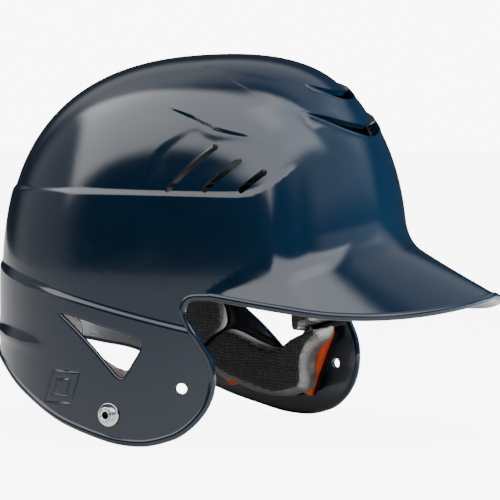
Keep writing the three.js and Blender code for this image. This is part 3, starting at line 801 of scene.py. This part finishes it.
def clear_of_rows(points):
    """Drop the points that would break up the rows along lips, vents and ledges."""
    azimuth, station = from_sheet(points)
    away = np.abs(azimuth)
    keep = np.ones(len(points), bool)
    for line, margin, shown in (
        (lower_edge(azimuth), 1.7, away < 92), (upper_edge(azimuth), 1.7, away < 92),
        (side_lip(azimuth), 1.7, (away > 47) & (away < 92)),
        (ledge_stations(azimuth)[0], 2.6, away > 34), (ledge_stations(azimuth)[1], 4.4, away > 50),
    ):
        per_unit = np.where(station < 90, MM_PER_DEGREE, 1)
        keep &= ~(shown & (np.abs(station - line) * per_unit < margin))
    for edge, span in ((lower_edge, 33), (upper_edge, 24)):
        below = (station - edge(azimuth)) * MM_PER_DEGREE
        keep &= ~((away < span) & (below > 0) & (below < VENT_HEIGHT * MM_PER_DEGREE + 3.2))
    return points[keep]


def shell_points():
    low, high = vent_panel.min(0) - 0.05, vent_panel.max(0) + 0.05
    patch = np.mgrid[low[0]:high[0]:0.0085, low[1]:high[1]:0.0085].reshape(2, -1).T
    grid = rings(SHELL_SPACING)
    folded = np.concatenate([np.abs(grid[:, :1]), grid[:, 1:]], 1)
    grid = grid[~((folded > low).all(1) & (folded < high).all(1))]
    everywhere = [clear_of_rows(np.concatenate([grid, patch, mirrored(patch)]))]
    for edge in (lower_edge, upper_edge):
        azimuths = np.arange(-92, 92, 0.9)
        everywhere += rows_along(azimuths, edge(azimuths), (-3.2, -1.7, -0.7, -0.12, 0.36, 1.0, 1.9))
    lip = np.concatenate([np.arange(48, 92, 0.9), -np.arange(48, 92, 0.9)])
    everywhere += rows_along(lip, side_lip(lip), (-2.2, -1.0, -0.22, 0.52, 1.2, 2.0))
    for (points, span), edge in zip(VENT_SPANS.values(), (lower_edge, upper_edge)):
        azimuths = np.arange(-span - 2, span + 2, 0.9)
        drop = VENT_HEIGHT * np.cos(np.radians(90) * np.minimum(np.abs(azimuths) / span, 1)) ** 0.7
        everywhere += rows_along(azimuths, edge(azimuths) + 0.35 + drop, (0.5, 1.0, 1.6, 2.3, 3.2))
    around = np.concatenate([np.arange(34, 180, 1.0), -np.arange(34, 180, 1.0)])
    for line, reach in zip(ledge_stations(around), (1.0, 2.0)):
        everywhere += rows_along(around, line, np.array([-2.0, -1.4, -0.7, 0, 0.7, 1.4, 2.0]) * reach)
    patch = np.mgrid[-15:15.1:0.75, -13:13.1:0.75].reshape(2, -1).T + BADGE_PLACE
    for side in (1, -1):
        everywhere.append(side_to_sheet(patch, side))
    for outline in side_holes:
        for grow in (1.03, 1.08):
            ring = outline.mean(0) + (outline - outline.mean(0)) * grow
            everywhere += [ring, mirrored(ring)]
    return np.concatenate(everywhere)


both_sides = [o for outline in side_holes for o in (outline, mirrored(outline))]
cuts = [*both_sides, *vents.values()]
sheet, faces = net(shell_points(), [rim, *cuts], rim, cuts)
outer, inner = outside_of_shell(sheet), inside_of_shell(sheet)
outer_normals = outward(outer, normals_of(outside_of_shell, sheet))
inner_normals = -outward(inner, normals_of(inside_of_shell, sheet))
piece("moulded_shell", solid_mesh(
    "moulded_shell", outer, inner, faces, outer_normals, inner_normals), plastic, "navy_plastic", "shell")

# %% [markdown]
# A round bead of plastic runs along the whole edge of the shell and round each ear opening. It follows
# a path, so it is made with Geometry Nodes: the path's edges become a curve, a circle is swept along
# it, and the result is turned into a plain mesh.

# %% A sweep along a path, with Geometry Nodes
def new_tree(name, **inputs):
    tree = bpy.data.node_groups.new(name, "GeometryNodeTree")
    tree.interface.new_socket("Geometry", in_out="INPUT", socket_type="NodeSocketGeometry")
    tree.interface.new_socket("Geometry", in_out="OUTPUT", socket_type="NodeSocketGeometry")
    for label, (kind, value) in inputs.items():
        socket = tree.interface.new_socket(label.replace("_", " "), in_out="INPUT", socket_type=kind)
        socket.default_value = value
    return tree, put(tree, "NodeGroupInput"), put(tree, "NodeGroupOutput")


def grown(name, mesh, tree, **settings):
    """What a Geometry Nodes tree makes of a mesh, as a plain mesh."""
    carrier = bpy.data.objects.new(name, mesh)
    bpy.context.scene.collection.objects.link(carrier)
    modifier = carrier.modifiers.new(tree.name, "NODES")
    modifier.node_group = tree
    for item in tree.interface.items_tree:
        if item.in_out == "INPUT" and item.name in settings:
            modifier[item.identifier] = settings[item.name]
    evaluated = carrier.evaluated_get(bpy.context.evaluated_depsgraph_get())
    result = bpy.data.meshes.new_from_object(evaluated)
    bpy.data.objects.remove(carrier)
    result.name = name
    return result


def sweep_tree():
    tree, given, result = new_tree("sweep_a_bead", Radius=("NodeSocketFloat", 0.002),
                                   Sides=("NodeSocketInt", 14), Material=("NodeSocketMaterial", plastic))
    curve = put(tree, "GeometryNodeMeshToCurve", Mesh=given.outputs["Geometry"])
    ring = put(tree, "GeometryNodeCurvePrimitiveCircle", Resolution=given.outputs["Sides"],
               Radius=given.outputs["Radius"])
    swept = put(tree, "GeometryNodeCurveToMesh", Curve=curve.outputs[0], Profile_Curve=ring.outputs[0])
    smooth = put(tree, "GeometryNodeSetShadeSmooth", Geometry=swept.outputs[0])
    real = put(tree, "GeometryNodeRealizeInstances", Geometry=smooth.outputs[0])
    coloured = put(tree, "GeometryNodeSetMaterial", Geometry=real.outputs[0],
                   Material=given.outputs["Material"])
    tree.links.new(coloured.outputs[0], result.inputs[0])
    return tree


def loop_mesh(points):
    mesh = bpy.data.meshes.new("path")
    count = len(points)
    mesh.from_pydata((points * MM).tolist(), [(i, (i + 1) % count) for i in range(count)], [])
    return mesh


def faces_outward(mesh):
    """Turn a closed mesh inside out if its volume comes out negative."""
    corners = np.array([v.co for v in mesh.vertices])
    mesh.calc_loop_triangles()
    a, b, c = (corners[[t.vertices[k] for t in mesh.loop_triangles]] for k in range(3))
    if (a * np.cross(b, c)).sum() < 0:
        mesh.flip_normals()
    return mesh


# %% [markdown]
# The beads' middles lie one bead radius inside the wall's inner face, so that they thicken the edge
# without standing out of it.

# %% Beads
BEAD_RADIUS, EAR_BEAD_RADIUS = 2.1, 1.6


def skin(sheet, depth):
    """The shell's surface with its ledges but without fine relief, moved inwards by a depth."""
    azimuth, _, point, normal = smooth_surface(sheet)
    return point + normal * (ledges(azimuth, point) - depth)[:, None]


sweep = sweep_tree()
rim_path = even(np.concatenate([skin(rim, WALL - BEAD_RADIUS), skin(rim[:1], WALL - BEAD_RADIUS)]), 1.8)[:-1]
rim_bead = grown("rim_bead", loop_mesh(rim_path), sweep, Radius=BEAD_RADIUS * MM, Sides=14)
piece("rim_bead", faces_outward(rim_bead), plastic, "navy_plastic", "shell")
for word, outline in (("left", ear), ("right", mirrored(ear))):
    path = loop_mesh(skin(outline, WALL - EAR_BEAD_RADIUS))
    bead = grown(f"{word}_ear_bead", path, sweep, Radius=EAR_BEAD_RADIUS * MM, Sides=12)
    piece(f"{word}_ear_bead", faces_outward(bead), plastic, "navy_plastic", "shell")

# %% [markdown]
# Pads. Each has a firm orange base, a soft grey cushion with sloping cut sides and a crowned face, and
# a mesh cloth on that face. All three are height fields over the same sheet: at every point, how deep
# a layer lies under the shell's outside depends on how far the point is from the pad's edge.

# %% Pad outlines
SIDE_PAD = [
    [-38.5, -26], [-30, -10], [-35, 3], [-49, 11], [-55, 24], [-50, 40], [-25, 50], [20, 50], [48, 40],
    [62, 20], [70, 0], [72, -22], [70, -37], [57, -49.5], [36.5, -30.5], [38, -20], [45, -8], [12, -11],
    [-12, -19], [-14, -34],
]
EAR_PAD = [
    [-40.5, -27.3], [-37.5, -37.5], [-29, -42], [-25, -49.5], [-26, -58.5], [-25, -65], [-19, -71],
    [-8, -75], [6, -75.5], [20, -72.8], [36, -66.5], [57.9, -52], [35.6, -31.8], [26.5, -34.5],
    [19.3, -38], [12, -41], [4, -43.5], [-4.6, -41.8], [-9, -38.5], [-14, -35.6],
]
NEAR_RIM = 12.0  # the cloth keeps this far from the shell's edge


def inset(outline, amount, spacing):
    """A closed outline of the sheet moved inwards, without the loops that tight corners would make.
    amount is in millimetres, or a function of the outline and its outward directions."""
    along = np.roll(outline, -1, 0) - np.roll(outline, 1, 0)
    inward = np.stack([-along[:, 1], along[:, 0]], -1)
    inward /= np.linalg.norm(inward, axis=1, keepdims=True)
    x, y = outline.T
    if (x * np.roll(y, -1) - np.roll(x, -1) * y).sum() < 0:
        inward = -inward
    amount = amount(outline, -inward) if callable(amount) else np.full(len(outline), amount)
    reach = (amount / sheet_scale(outline))[:, None]
    moved = outline + inward * reach
    keep = distance(moved, outline) > reach[:, 0] * 0.98
    moved = moved[keep]
    return even(np.concatenate([moved, moved[:1]]), spacing / float(sheet_scale(outline.mean(0))))[:-1]


def patch_outline(half_angle, top, bottom, middle=0):
    turn = np.linspace(-half_angle, half_angle, 13)
    azimuth = middle + np.concatenate([turn, turn[::-1]])
    station = np.concatenate([np.full(13, float(bottom)), np.full(13, float(top))])
    return rounded(to_sheet(azimuth, station), 0.06, 0.012)


pad_outlines = {
    "crown_pad": even(to_sheet(np.linspace(0, 360, 91), np.full(91, 30.0)), 0.012)[:-1],
    "forehead_pad": patch_outline(46, 57, 76),
    "rear_pad": patch_outline(43, 64, 105, 180),
}
for name, corners in (("side_pad", SIDE_PAD), ("ear_pad", EAR_PAD)):
    line = spline(rounded(side_to_sheet(corners), 0.05, 0.03), 0.011)[:-1]
    pad_outlines[f"left_{name}"] = line
    pad_outlines[f"right_{name}"] = mirrored(line)[::-1]

# %% [markdown]
# The layers are cut back by different amounts, so the orange base and the cushion's cut side show at
# the front and bottom of an ear pad and are hidden behind the cloth elsewhere. The cloth's cut edge
# wobbles a little, from a fixed seed.

# %% Pads
BASE_THICKNESS, CUSHION_THICKNESS, COVER_THICKNESS = 4.0, 12.0, 1.2
# How far each layer is cut back, in mm, at hidden edges, at the front edge and at the bottom edge.
BASE_INSET, CUSHION_INSET, COVER_INSET = (3.2, 0.0, 0.0), (0.2, 1.8, 3.2), (1.0, 5.0, 7.0)
FRONT_EDGES, BOTTOM_EDGES = -19, -48
PAD_SPACING, CUT_WOBBLE = 1.7, 0.28
random = np.random.default_rng(7)
pad_grid = rings(PAD_SPACING)


def layer_mesh(name, outline, inner_lines, holes, far, near):
    """A layer between two depths, each a function of the sheet's points."""
    inside_points = pad_grid[inside(pad_grid, outline)]
    lines = [outline, *inner_lines, *holes]
    for line in lines:
        scale = sheet_scale(inside_points)
        inside_points = inside_points[distance(inside_points, line) * scale > PAD_SPACING * 0.45]
    sheet, faces = net(inside_points, lines, outline, holes)
    outer = skin(sheet, far(sheet))
    inner = skin(sheet, near(sheet))
    mesh = solid_mesh(name, outer, inner, faces)
    mesh.set_sharp_from_angle(angle=math.radians(50))
    return mesh, sheet, faces, inner


def ease(share):
    return np.sin(np.radians(90) * np.clip(share, 0, 1)) ** 0.85


def layer_inset(hidden, front, bottom):
    """An inset that changes along the outline. The orange base and the sloping cut side of the
    cushion show at the flap's front and bottom edges; elsewhere the cloth comes right to the edge."""
    def amount(outline, outward_way):
        forward = -outward_way[:, 1]
        down = outward_way[:, 0] * np.sign(outline[:, 0])
        point = base_point(*from_sheet(outline))
        at_front = step(forward, 0.1, 0.5) * (point[:, 1] < FRONT_EDGES)
        at_bottom = step(down, 0.3, 0.75) * (point[:, 2] < BOTTOM_EDGES)
        share = np.maximum(at_front, at_bottom)
        low = np.where(at_bottom > at_front, bottom, front)
        return hidden + (low - hidden) * share
    return amount


def make_pad(name, outline):
    shell_side = WALL + GAP
    base_line = inset(outline, layer_inset(*BASE_INSET), 1.3)
    cushion_line = inset(outline, layer_inset(*CUSHION_INSET), 1.3)
    cover_line = inset(outline, layer_inset(*COVER_INSET), 1.3)
    gap = distance(cover_line, rim) * sheet_scale(cover_line)
    away = cover_line - rim[np.argmin(np.linalg.norm(cover_line[:, None] - rim, axis=-1), 1)]
    away /= np.linalg.norm(away, axis=1, keepdims=True)
    low = from_sheet(cover_line)[1] > 90 + 15
    push = low * np.maximum(NEAR_RIM - gap, 0) / sheet_scale(cover_line)
    cover_line = spline((cover_line + away * push[:, None])[::4], 1.2 / 80)[:-1]
    pocket = [o for o in (snap_hole, mirrored(snap_hole)) if inside(o.mean(0)[None], outline)[0]]
    pocket = [o.mean(0) + (o - o.mean(0)) * 2.5 for o in pocket]

    def base_near(sheet):
        edge = distance(sheet, base_line) * sheet_scale(sheet)
        return shell_side + BASE_THICKNESS * (0.7 + 0.3 * ease(edge / 1.2))

    def cushion_near(sheet):
        scale = sheet_scale(sheet)
        out = distance(sheet, cushion_line) * scale
        inn = distance(sheet, cover_line) * scale
        on_face = inside(sheet, cover_line)
        share = np.where(on_face, 1, out / np.maximum(out + inn, 1e-6))
        crown = 1.3 * on_face * (1 - np.exp(-inn / 12))
        return shell_side + BASE_THICKNESS + 0.1 + CUSHION_THICKNESS * (0.12 + 0.88 * ease(share)) + crown

    def cover_near(sheet):
        edge = distance(sheet, cover_line) * sheet_scale(sheet)
        return cushion_near(sheet) + 0.1 + COVER_THICKNESS * (0.35 + 0.65 * ease(edge / 1.5))

    base_mesh, _, base_faces, _ = layer_mesh(f"{name}_firm", base_line, [], pocket,
                                             lambda s: np.full(len(s), shell_side), base_near)
    cushion_mesh = layer_mesh(f"{name}_foam", cushion_line, [cover_line], [],
                              lambda s: np.full(len(s), shell_side + BASE_THICKNESS + 0.05), cushion_near)[0]
    cut = cover_line + random.normal(0, CUT_WOBBLE / 80, cover_line.shape)
    cover_mesh, sheet, faces, top = layer_mesh(
        f"{name}_cloth", cut, [], [], lambda s: cushion_near(s) + 0.05, cover_near)
    flat = sheet - sheet.mean(0)
    flat = flat @ np.linalg.svd(flat, full_matrices=False)[2].T
    piece(base_mesh.name, base_mesh, firm_foam, "orange_foam", f"{name}_base")
    # the base's side towards the shell gets the near-black painted shade film; the rest stays orange
    base_mesh.materials.append(painted_shade_film)
    count = (len(base_mesh.polygons) - len(border(base_faces)) * 2) // 2
    base_mesh.polygons.foreach_set(
        "material_index", (np.arange(len(base_mesh.polygons)) < count).astype(int))
    foam = piece(cushion_mesh.name, cushion_mesh, soft_foam, "grey_foam", f"{name}_cushion")
    face = piece(cover_mesh.name, cover_mesh, cloth, "mesh_cloth", f"{name}_cover")


for name, outline in pad_outlines.items():
    make_pad(name, outline)

# %% [markdown]
# The chin-strap snaps are turned parts, so each is a profile swung round the snap's axis. The stud
# stands on the shell, the post runs through the wall and is rolled over at its outer end, and a washer
# spreads its head inside.

# %% Snaps
POST_RADIUS, STUD_NECK_RADIUS = 2.5, 3.7
TURNED_SIDES = 72


def arc(middle_r, middle_h, radius, start, end, count=7):
    turn = np.radians(np.linspace(start, end, count))
    return [(middle_r + radius * math.cos(a), middle_h + radius * math.sin(a)) for a in turn]


PROFILES = {
    "stud": [(2.8, 0.3), *arc(5.95, 0.65, 0.35, -90, 0, 4), *arc(5.85, 0.75, 0.45, 0, 90, 5), (4.7, 1.2),
             (4.0, 1.35), (STUD_NECK_RADIUS, 1.8), (STUD_NECK_RADIUS, 2.1),
             *arc(3.6, 3.2, 0.8, -35, 90), (3.1, 4.05), (2.8, 3.9)],
    "post": [(1.8, -5.6), (4.6, -5.6), *arc(4.6, -5.2, 0.4, -90, 90, 5), (POST_RADIUS, -4.8),
             (POST_RADIUS, 4.2), (2.75, 4.5), *arc(2.65, 4.75, 0.4, -30, 140), (1.95, 4.6), (1.8, 4.1)],
    "washer": [(2.8, -4.5), *arc(5.75, -4.25, 0.25, -90, 0, 3), *arc(5.75, -3.75, 0.25, 0, 90, 3),
               (2.8, -3.5)],
}


def turned(name, profile, centre, axis):
    """A closed profile of (radius, height) swung round an axis."""
    side = axis.orthogonal().normalized()
    other = axis.cross(side)
    points, polygons = [], []
    count = len(profile)
    for i in range(TURNED_SIDES):
        turn = 2 * math.pi * i / TURNED_SIDES
        out = side * math.cos(turn) + other * math.sin(turn)
        points += [(centre + out * r + axis * h) * MM for r, h in profile]
        for k in range(count):
            here, there = i * count, (i + 1) % TURNED_SIDES * count
            polygons.append((here + k, there + k, there + (k + 1) % count, here + (k + 1) % count))
    mesh = bpy.data.meshes.new(name)
    mesh.from_pydata(points, [], polygons)
    mesh.polygons.foreach_set("use_smooth", np.ones(len(polygons), bool))
    mesh.set_sharp_from_angle(angle=math.radians(40))
    return faces_outward(mesh)


for word, side in (("left", 1), ("right", -1)):
    spot = side_to_sheet([SNAP_PLACE], side)
    centre = Vector(skin(spot, 0.0)[0])
    axis = Vector(skin(spot, -1.0)[0]) - centre
    axis = Vector((axis.x, axis.y, 0)).normalized()
    for kind, profile in PROFILES.items():
        mesh = turned(f"{word}_{kind}", profile, centre, axis)
        piece(f"{word}_{kind}", mesh, chrome, "chrome", f"{word}_snap_{kind}")

# %% [markdown]
# The floor is a wide plane just under the helmet. To light and reflections it is a mid grey, so that
# it shows only faintly in the plastic. For the camera alone it also glows, and looks pale.

# %% Floor
FLOOR_GAP, FLOOR_GLOW = 0.5, 7.0
bpy.ops.mesh.primitive_plane_add(size=60, location=(0, 0, cad_box[0][2] - FLOOR_GAP * MM))
floor = bpy.context.object
floor.name = "floor"
floor.data.materials.append(paper)
seen_pale = put(paper.node_tree, "ShaderNodeLightPath").outputs["Is Camera Ray"]
paper.node_tree.links.new(calculate(paper.node_tree, "MULTIPLY", seen_pale, FLOOR_GLOW),
                          paper.node_tree.nodes["Principled BSDF"].inputs["Emission Strength"])
paper.node_tree.nodes["Principled BSDF"].inputs["Emission Color"].default_value = (1, 1, 1, 1)
